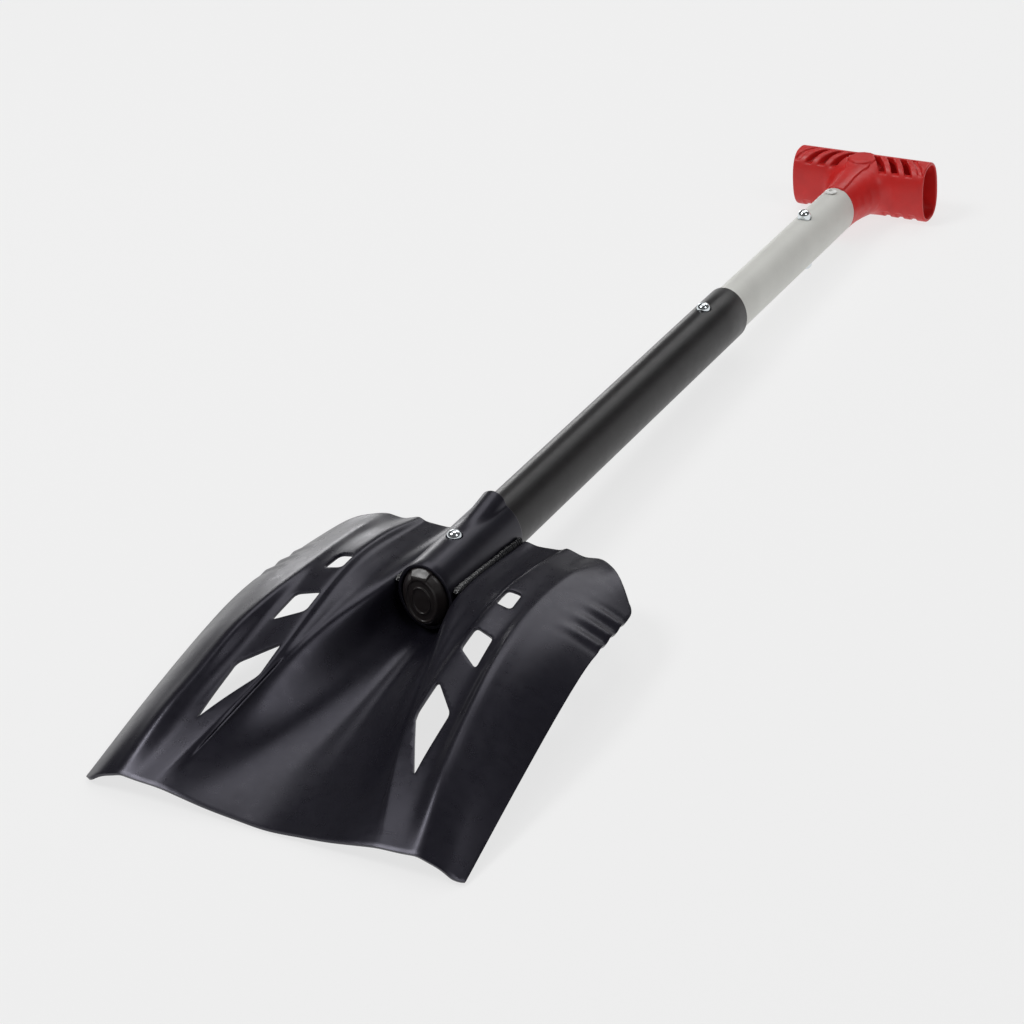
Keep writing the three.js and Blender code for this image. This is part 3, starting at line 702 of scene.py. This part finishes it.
def tube_hole(half, y, side):
    """Outline of a round button hole on a tube, in the flat of the unrolled tube."""
    t = np.linspace(0, 2 * np.pi, 41)[:-1]
    x = BUTTON_HOLE * np.cos(t)
    z = side * half[1] * np.sqrt(1 - (x / half[0]) ** 2)
    return np.stack([-np.arctan2(z, x) * half[0], y + BUTTON_HOLE * np.sin(t)], 1)


def make_tube(name, half, ends, wall, holes, dense=(), radius=None, around=96):
    """Oval tube along y, unrolled with its seam on the left side."""
    radius = radius or (lambda angle, y: oval_radius(angle, half))
    width = np.pi * half[0]
    rows = {ends[0], ends[1]}
    rows |= set(np.linspace(ends[0], ends[1], 14))
    for low, high, spacing in dense:
        rows |= set(np.arange(low, high, spacing))
    rows = np.array(sorted(rows))
    rows = rows[np.concatenate([[True], np.diff(rows) > 0.3])]
    rows[-1] = ends[1]
    columns = np.linspace(-width, width, around + 1)
    top = np.stack([columns[1:], np.full(around, rows[-1])], 1)
    bottom = np.stack([columns[:-1], np.full(around, rows[0])], 1)
    right = np.stack([np.full(len(rows) - 1, width), rows[:-1]], 1)
    left = np.stack([np.full(len(rows) - 1, -width), rows[:0:-1]], 1)
    outline = np.vstack([bottom, right, top[::-1], left])
    u, v = np.meshgrid(columns[1:-1], rows[1:-1])
    grid = np.stack([u.ravel(), v.ravel()], 1)

    def surface(flat):
        angle = -flat[:, 0] / half[0]
        r = radius(angle, flat[:, 1])
        return np.stack([r * np.cos(angle), flat[:, 1], r * np.sin(angle)], 1)

    return pierced_sheet(name, outline, holes, grid, 0.55, surface, wall, bevel=0.25)


def socket_radius(angle, y):
    """Socket outline with the flared lead-in raised over its mouth."""
    oval = oval_radius(angle, SOCKET)
    t = np.clip((y - LEAD_IN["start"]) / (SOCKET_ENDS[1] - LEAD_IN["start"]), -0.5, 1)
    flare = LEAD_IN["start_radius"] + (LEAD_IN["mouth_radius"] - LEAD_IN["start_radius"]) * t
    height = LEAD_IN["start_height"] + (LEAD_IN["mouth_height"] - LEAD_IN["start_height"]) * t
    inner = flare ** 2 - (height * np.cos(angle)) ** 2
    bump = height * np.sin(angle) + np.sqrt(np.maximum(inner, 0))
    bump = np.where((inner > 0) & (np.sin(angle) > 0), bump, 0)
    return np.where(bump > 0, smooth_max(oval, bump, 1.0), oval)


def around_hole(y):
    """Rows closer together about a button hole: first, last and spacing."""
    return (y - 8, y + 8, 1.1)


tube = make_tube("socket_shell", SOCKET, SOCKET_ENDS, SOCKET_WALL,
                 [tube_hole(SOCKET, SOCKET_BUTTON_Y, 1)],
                 [around_hole(SOCKET_BUTTON_Y), (-29, 4, 0.7)], socket_radius, around=200)
finish_piece(tube, "blade_unit", ["socket_tube"], SOCKET_BLACK.material)

tube = make_tube("lower_tube", LOWER, LOWER_ENDS, WALL,
                 [tube_hole(LOWER, SOCKET_BUTTON_Y, 1), tube_hole(LOWER, EXTENDED_BUTTON_Y, 1),
                  tube_hole(LOWER, EXTENDED_BUTTON_Y, -1)],
                 [around_hole(SOCKET_BUTTON_Y), around_hole(EXTENDED_BUTTON_Y)])
finish_piece(tube, "lower_shaft_unit", ["lower_shaft"], SHAFT_BLACK.material)

tube = make_tube("upper_tube", UPPER, UPPER_ENDS, WALL,
                 [tube_hole(UPPER, y, side) for y in (EXTENDED_BUTTON_Y, STOWED_BUTTON_Y)
                  for side in (1, -1)],
                 [around_hole(EXTENDED_BUTTON_Y), around_hole(STOWED_BUTTON_Y)])
finish_piece(tube, "upper_shaft_unit", ["upper_shaft"], SHAFT_GREY.material)


# ---------------------------------------------------------------- welds

def make_weld(side):
    """Rippled fillet between the socket's side and the rim of the channel."""
    y = np.linspace(*WELD_ENDS, 420)
    rim = line_points(np.maximum(-y, 0))[:, WELD_LINE]
    low = rim[:, 1] - 0.6
    socket_side = SOCKET[0] * np.sqrt(1 - ((low + 1.6) / SOCKET[1]) ** 2)
    x = (socket_side + rim[:, 0]) / 2
    z = low + 0.9
    travel = (y - y[0]) / WELD_PITCH
    wave = travel - np.floor(travel)
    ripple = 0.66 + 0.42 * np.sin(np.pi * wave) ** 0.7 + 0.07 * np.sin(travel * 1.7)
    ripple += 0.06 * np.sin(travel * 0.43)
    widen = 1 + 0.5 * step_up(y, -45, -8)
    ends = np.sqrt(np.clip(np.minimum(y - y[0], y[-1] - y) / 2.5, 0.02, 1))
    across = ((rim[:, 0] - socket_side) / 2 + 0.75) * ends
    height = WELD_RADIUS * ripple * ends * widen
    steps = 24
    angles = circle_angles(steps)
    vertices = []
    for k in range(len(y)):
        for a in angles:
            lean = 1.1 * math.cos(a) ** 2
            vertices.append((side * (x[k] + across[k] * ripple[k] * math.cos(a)),
                             y[k] - lean, z[k] + height[k] * math.sin(a)))
    faces = []
    for k in range(len(y) - 1):
        for i in range(steps):
            j = (i + 1) % steps
            face = (k * steps + i, k * steps + j, (k + 1) * steps + j, (k + 1) * steps + i)
            faces.append(face if side < 0 else face[::-1])
    first, last = list(range(steps)), list(range((len(y) - 1) * steps, len(y) * steps))
    faces.append(first[::-1] if side < 0 else first)
    faces.append(last if side < 0 else last[::-1])
    return new_object("weld_ripples_" + ("right" if side > 0 else "left"), vertices, faces)


for sign, place in ((1, "right"), (-1, "left")):
    finish_piece(make_weld(sign), "blade_unit", ["weld_bead_" + place],
                 WELD_BLACK.material, sharp=60)


# ---------------------------------------------------------------- end plug

# Stations of the nose: (y, half-width, half-height).
PLUG_NOSE = [(PLUG_FACE_Y, 10.6, 14.8), (-81.6, 11.4, 15.6), (-78.6, 13.9, 17.3),
             (-76.3, 14.7, 18.1)]
NOSE_BACK_Y = -76.4
SKIRT_MIDDLE_Y = -69
SKIRT_HALF_LENGTH = 8
SKIRT_WALL = 2
KEY_FOOT = 9
KEY_NARROWING = 0.3
KEY_SLOPE = 0.68
DISH_HALF = (9.2, 13.2)
DISH_DEPTH = 0.6
DISH_RING_HALF = (6.0, 8.4)
DISH_RING_WIDTH = 0.7


def plug_field(x, y, z):
    """Hollow oval plug with a sloping key on top and a ring in its dished face."""
    stations = np.array(PLUG_NOSE)
    half_x = np.interp(y, stations[:, 0], stations[:, 1])
    half_z = np.interp(y, stations[:, 0], stations[:, 2])
    nose = np.maximum(oval_distance(x, z, half_x, half_z), y - NOSE_BACK_Y)
    skirt_half = (LOWER[0] - WALL - 0.35, LOWER[1] - WALL - 0.35)
    skirt = oval_distance(x, z, *skirt_half)
    skirt_length = np.abs(y - SKIRT_MIDDLE_Y) - SKIRT_HALF_LENGTH
    body = smooth_min(nose, smooth_max(skirt, skirt_length, 0.8), 0.2)
    slope = np.clip(KEY_BACK_Y - y, 0, 9)
    key_sides = np.abs(x) - KEY_HALF_WIDTH + KEY_NARROWING * slope
    key = smooth_max(key_sides, z - LOWER[1] + KEY_SLOPE * slope, 0.3)
    tube_outline = oval_distance(x, z, LOWER[0] + 0.6, LOWER[1])
    key_ends = np.maximum(KEY_FOOT - z, y - NOSE_BACK_Y)
    key = smooth_max(smooth_max(key, tube_outline, 0.3), key_ends, 0.3)
    body = smooth_min(body, key, 0.3)
    body = smooth_max(body, PLUG_FACE_Y - y, 0.7)
    hollow = np.maximum(skirt + SKIRT_WALL, -78 - y)
    dish = oval_distance(x, z, *DISH_HALF)
    recess = smooth_max(dish, y - PLUG_FACE_Y - DISH_DEPTH, 0.3)
    ring = np.abs(oval_distance(x, z, *DISH_RING_HALF)) - DISH_RING_WIDTH / 2
    recess = smooth_max(recess, -ring, 0.4)
    return smooth_max(smooth_max(body, -hollow, 0.3), -recess, 0.35)


plug = implicit_piece("shaft_end_plug", plug_field, (-16, -84, -20), (16, -59, 22), 0.42)
finish_piece(plug, "lower_shaft_unit", ["lower_shaft_plug"], PLUG_BLACK.material, sharp=50)


# ---------------------------------------------------------------- buttons and rivets

def dome(radius, top, depth, steps=12):
    """Profile of a dome from its rim up to just short of the crown."""
    angles = np.linspace(0, np.pi / 2, steps)[:-1]
    return [(radius * math.cos(a), top - depth + depth * math.sin(a)) for a in angles]


def place_on_shaft(thing, y, side):
    """Moves a piece made about z to y on the shaft, turned over for the lower side."""
    if side < 0:
        thing.data.transform(Matrix.Rotation(math.pi, 4, "X"))
    thing.data.transform(Matrix.Translation((0, y, 0)))


def make_button(name, surface, y, side):
    """Domed snap button that stands out of a tube's surface."""
    base = surface - BUTTON_SHANK
    top = surface + BUTTON_PROUD
    profile = [(0, base), (BUTTON_RADIUS - 0.4, base), (BUTTON_RADIUS - 0.1, base + 0.1),
               (BUTTON_RADIUS - 0.02, base + 0.4)]
    profile += dome(BUTTON_RADIUS - 0.02, top, DOME_DEPTH)
    profile.append((0, top))
    button = turned(name, profile)
    place_on_shaft(button, y, side)
    return button


def make_rivet(name, y, side):
    """Hollow blind rivet: a closed profile turned about the bore."""
    seat = UPPER[1] + 0.3
    bore = RIVET_BORE
    profile = [(bore, seat + 1.15), (bore, RIVET_SHANK_END),
               (RIVET_SHANK, RIVET_SHANK_END), (RIVET_SHANK, seat),
               (RIVET_HEAD - 0.25, seat), (RIVET_HEAD - 0.02, seat + 0.2),
               (RIVET_HEAD - 0.05, seat + 0.45), (RIVET_HEAD * 0.86, seat + 0.85),
               (RIVET_HEAD * 0.62, seat + 1.18), (bore + 0.35, seat + 1.3),
               (bore + 0.08, seat + 1.25)]
    steps = ROUND_STEPS
    angles = circle_angles(steps)
    vertices = [(r * math.cos(a), r * math.sin(a), z) for r, z in profile for a in angles]
    faces = []
    for ring in range(len(profile)):
        a, b = ring * steps, (ring + 1) % len(profile) * steps
        faces += [(a + i, a + (i + 1) % steps, b + (i + 1) % steps, b + i) for i in range(steps)]
    rivet = new_object(name, vertices, faces)
    place_on_shaft(rivet, y, side)
    return rivet


button = make_button("socket_button_dome", LOWER[1], SOCKET_BUTTON_Y, 1)
finish_piece(button, "socket_button_unit", ["socket_button"], BUTTON_ZINC.material)
for kind, y in (("extended", EXTENDED_BUTTON_Y), ("stowed", STOWED_BUTTON_Y)):
    for where, sign in (("top", 1), ("bottom", -1)):
        node = f"{kind}_button_{where}"
        button = make_button(node + "_dome", UPPER[1], y, sign)
        finish_piece(button, node + "_unit", [node], BUTTON_ZINC.material)
        if kind == "extended":
            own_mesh(button)
for where, sign in (("top", 1), ("bottom", -1)):
    rivet = make_rivet("rivet_head_" + where, RIVET_Y, sign)
    finish_piece(rivet, "upper_shaft_unit", ["grip_rivet_" + where], RIVET_WHITE.material)


# ---------------------------------------------------------------- grip

# Stations of the neck: (y, half-width, half-height).
NECK = [(495.8, 13.5, 16.9), (503, 13.7, 16.9), (511, 15, 17.1), (519, 17.2, 17.6),
        (526, 20.5, 18.1), (531, 24, 18.4), (540, 26, 18.4)]


SPINE_STATIONS = ([495, 516, 528, 533], [5.6, 5.2, 6.4, 8.6])
SPINE_END = 536
RAISED_FROM = 2
BADGE_Y = 543
BADGE_HALF = (10.4, 9.4)
BADGE_SIZE = 9.8
PLUG_IN_TUBE = (470, 500)
CORE_END = 528
GRIP_TOP = 21.5


def raised(body, x, y, z):
    """Stepped spine along the neck's top that runs up to a blank oval badge."""
    strip_half = np.interp(y, *SPINE_STATIONS)
    underside = RAISED_FROM - z
    strip = np.maximum(np.abs(x) - strip_half, np.maximum(y - SPINE_END, underside))
    across = np.hypot(x / BADGE_HALF[0], (y - BADGE_Y) / BADGE_HALF[1])
    badge = np.maximum((across - 1) * BADGE_SIZE, underside)
    body = body - SPINE_LIFT * step_up(-smooth_min(strip, badge, 1.0), -0.25, 0.25)
    groove = np.abs(badge) - 0.5
    return body + BADGE_GROOVE * step_up(-np.maximum(groove, underside), -0.45, 0.25)


def slotted(body, section, x, v, z):
    """Slanted slots through the top, notches below them and an outer dimple each side."""
    side = np.abs(x)
    slanted = side + SLOT_SLANT * (v + GRIP_HALF[1])
    for middle, width, low in GRIP_SLOTS:
        gap = smooth_max(np.abs(slanted - middle) - width / 2, low - z, 1.0)
        gap = smooth_max(gap, v - SLOT_BACK, 2.0)
        body = smooth_max(body, -gap, 0.7)
        notch = smooth_max(np.abs(side - middle) - width / 2, -section - NOTCH_DEPTH, 1.0)
        notch = smooth_max(notch, np.maximum(z - NOTCH_TOP, v - NOTCH_BACK), 1.5)
        body = smooth_max(body, -notch, 0.4)
    dimple = smooth_max(np.abs(slanted - DIMPLE_AT) - 1.9, 16 - z, 1.2)
    dimple = smooth_max(dimple, np.maximum(-section - 1.3, v - SLOT_BACK), 0.8)
    return smooth_max(body, -dimple, 0.6)


def grip_field(x, y, z):
    """Hollow T grip: bar and neck, hollowed from both ends and up the neck, and slotted."""
    half_length, half_depth, half_height = GRIP_HALF
    v = y - GRIP_Y
    section = oval_distance(v, z, half_depth, half_height, GRIP_POWER)
    bar = smooth_max(section, np.abs(x) - half_length, 1.4)
    stations = np.array(NECK)
    half_x = np.interp(y, stations[:, 0], stations[:, 1])
    half_z = np.interp(y, stations[:, 0], stations[:, 2])
    neck = oval_distance(x, z, half_x, half_z)
    neck = smooth_max(neck, np.maximum(NECK[0][0] - y, y - GRIP_Y), 0.5)
    body = smooth_min(bar, neck, 5.0)
    body = raised(body, x, y, z)
    plug_half = (UPPER[0] - WALL - 0.3, UPPER[1] - WALL - 0.3)
    plug = oval_distance(x, z, *plug_half)
    plug_start, plug_end = PLUG_IN_TUBE
    inner_plug = smooth_max(plug, np.maximum(plug_start - y, y - plug_end), 0.6)
    body = np.minimum(body, inner_plug)
    body = np.maximum(body, z - GRIP_TOP)
    core = np.maximum(plug + 2.5, y - CORE_END)
    body = smooth_max(body, -core, 0.4)
    wall = GRIP_WALL + 2.4 * step_up(z, 9, 16) * (1 - step_up(np.abs(x), 40, 49))
    hollow = smooth_max(section + wall, GRIP_WEB - np.abs(x), 1.5)
    body = smooth_max(body, -hollow, 0.9)
    rivet_hole = np.hypot(x, y - RIVET_Y) - RIVET_SHANK - 0.3
    body = np.maximum(body, -rivet_hole)
    return slotted(body, section, x, v, z)


grip_step = 0.62
grip = implicit_piece("grip_moulding", grip_field, (-52, 468, -23), (52, 562, 23), grip_step)
finish_piece(grip, "upper_shaft_unit", ["grip"], GRIP_RED.material, sharp=60)

# The mandrels stay as CAD made them, with a better material.
for node in ("rivet_mandrel_top", "rivet_mandrel_bottom"):
    kept = frame["nodes"][node]
    kept.data.materials.clear()
    kept.data.materials.append(MANDREL_STEEL.material)


# ---------------------------------------------------------------- springs

def make_leaf(name, y, tip_height, centre, direction):
    """One leaf of a folded spring, from its tip under the button to the middle of the bend."""
    side = 1 if tip_height > centre else -1
    bend = SPRING_BEND_RADIUS - SPRING_THICKNESS / 2
    path = [(-BUTTON_RADIUS - 1.5, tip_height - side * SPRING_THICKNESS / 2)]
    for angle in np.linspace(np.pi / 2, 0.01, 14):
        out, up = bend * math.cos(angle), bend * math.sin(angle)
        path.append((SPRING_LENGTH + out, centre + side * up))
    path = np.array(path)
    slope = np.gradient(path, axis=0)
    slope[0] = path[1] - path[0]
    normal = np.stack([-slope[:, 1], slope[:, 0]], 1)
    normal /= np.linalg.norm(normal, axis=1)[:, None]
    vertices = []
    for point, across in zip(path, normal):
        for x, offset in ((-1, -1), (1, -1), (1, 1), (-1, 1)):
            along, z = point + across * offset * SPRING_THICKNESS / 2
            vertices.append((x * SPRING_HALF_WIDTH, y + direction * along, z))
    faces = [(0, 1, 2, 3), tuple(len(vertices) - 4 + i for i in (3, 2, 1, 0))]
    for k in range(len(path) - 1):
        for i in range(4):
            j = (i + 1) % 4
            faces.append((k * 4 + j, k * 4 + i, (k + 1) * 4 + i, (k + 1) * 4 + j))
    leaf = new_object(name, vertices, faces)
    work = bmesh.new()
    work.from_mesh(leaf.data)
    bmesh.ops.recalc_face_normals(work, faces=work.faces)
    work.to_mesh(leaf.data)
    work.free()
    edge = leaf.modifiers.new("edge", "BEVEL")
    edge.width = 0.15
    edge.segments = 2
    edge.limit_method = "ANGLE"
    edge.angle_limit = math.radians(60)
    apply_modifiers(leaf)
    return leaf


def fold_with_button(leaf):
    """Gives the leaf a mesh of its own."""
    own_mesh(leaf)


UPPER_LEAF = UPPER[1] - BUTTON_SHANK - 0.3
SOCKET_LEAF = LOWER[1] - BUTTON_SHANK - 0.3
SOCKET_LOWER_LEAF = -(LOWER[1] - WALL - 1.2)
# Node, body, y, direction of the bend, tip heights, and the joints that press the tips.
SPRINGS = [
    ("socket_button_spring", "lower_shaft_unit", SOCKET_BUTTON_Y, 1, SOCKET_LEAF,
     SOCKET_LOWER_LEAF, "socket_button_press", None),
    ("extended_button_spring", "upper_shaft_unit", EXTENDED_BUTTON_Y, 1, UPPER_LEAF,
     -UPPER_LEAF, "extended_button_top_press", "extended_button_bottom_press"),
    ("stowed_button_spring", "upper_shaft_unit", STOWED_BUTTON_Y, -1, UPPER_LEAF,
     -UPPER_LEAF, "stowed_button_top_press", "stowed_button_bottom_press"),
]
for node, body, y, direction, upper, lower, upper_joint, lower_joint in SPRINGS:
    centre = (upper + lower) / 2
    for place, tip, joint in (("upper", upper, upper_joint), ("lower", lower, lower_joint)):
        leaf = make_leaf(node + "_" + place, y, tip, centre, direction)
        finish_piece(leaf, body, [node], SPRING_STEEL.material)
        if joint:
            fold_with_button(leaf)


# ---------------------------------------------------------------- studio

FLOOR_GLOW = 0.735
FLOOR_COLOR = 0.16
FLOOR_HALF = 30.0
FLOOR_DROP = 0.0005
HORIZON_BAND = (0.06, 0.18)
SKY_STRENGTH = (0.90, 0.10)
floor = new_object("floor", [(-1, -1, 0), (1, -1, 0), (1, 1, 0), (-1, 1, 0)], [(0, 1, 2, 3)])
floor.data.transform(Matrix.Diagonal((FLOOR_HALF, FLOOR_HALF, 1, 1)))
floor.data.transform(Matrix.Translation((0, 0, -FLOOR_DROP)))
paper = Shader("pale_floor", (FLOOR_COLOR,) * 3, 0.9, specular=0.0)
paper.shader.inputs["Emission Color"].default_value = (1, 1, 1, 1)
paper.shader.inputs["Emission Strength"].default_value = FLOOR_GLOW
floor.data.materials.append(paper.material)

world = bpy.data.worlds.new("studio")
bpy.context.scene.world = world
world.use_nodes = True
sky = world.node_tree
background = sky.nodes["Background"]
direction = sky.nodes.new("ShaderNodeTexCoord").outputs["Generated"]
split = sky.nodes.new("ShaderNodeSeparateXYZ")
fade = sky.nodes.new("ShaderNodeMapRange")
fade.interpolation_type = "SMOOTHSTEP"
fade.inputs["From Min"].default_value, fade.inputs["From Max"].default_value = HORIZON_BAND
fade.inputs["To Min"].default_value, fade.inputs["To Max"].default_value = SKY_STRENGTH
sky.links.new(direction, split.inputs["Vector"])
sky.links.new(split.outputs["Z"], fade.inputs["Value"])
sky.links.new(fade.outputs["Result"], background.inputs["Strength"])
background.inputs["Color"].default_value = (1, 1, 1, 1)


def soft_light(name, at, size, power):
    """Square soft box aimed at the middle of the shovel."""
    data = bpy.data.lights.new(name, "AREA")
    data.shape = "SQUARE"
    data.size = size
    data.energy = power
    lamp = bpy.data.objects.new(name, data)
    bpy.context.scene.collection.objects.link(lamp)
    lamp.location = at
    lamp.visible_camera = False
    lamp.rotation_mode = "QUATERNION"
    lamp.rotation_quaternion = (Vector((0, 0, 0)) - Vector(at)).to_track_quat("-Z", "Y")


# Name, place, side and power in metres and watts.
LIGHTS = [
    ("key", (-1.3, -0.9, 2.4), 0.9, 32),
    ("rear", (0.1, 2.7, 1.7), 1.5, 14),
    ("rear_low", (-2.6, 2.7, 0.25), 1.0, 13),
    ("overhead", (-0.4, 1.1, 2.4), 1.6, 17),
    ("right", (2.1, -0.3, 2.2), 1.0, 13),
]
for light in LIGHTS:
    soft_light(*light)

# ---------------------------------------------------------------- camera

CAMERA_AT = (810.0, -1289.3, 864.4)
CAMERA_RIGHT = Vector((0.8698, 0.4877, -0.0743))
CAMERA_DOWN = Vector((0.1827, -0.4585, -0.8697))
CAMERA_LENS = 105.0
CAMERA_SENSOR = 36.0
FAR_END = 100.0
camera_data = bpy.data.cameras.new("camera")
camera_data.lens = CAMERA_LENS
camera_data.sensor_width = CAMERA_SENSOR
camera_data.clip_end = FAR_END
camera = bpy.data.objects.new("camera", camera_data)
bpy.context.scene.collection.objects.link(camera)
right = (TURN @ CAMERA_RIGHT).normalized()
up = -(TURN @ CAMERA_DOWN)
up = (up - right * up.dot(right)).normalized()
turn = Matrix((right, up, right.cross(up))).transposed()
camera.matrix_world = Matrix.Translation(TO_ROW @ Vector(CAMERA_AT)) @ turn.to_4x4()
bpy.context.scene.camera = camera
bpy.context.scene.view_settings.view_transform = "Standard"
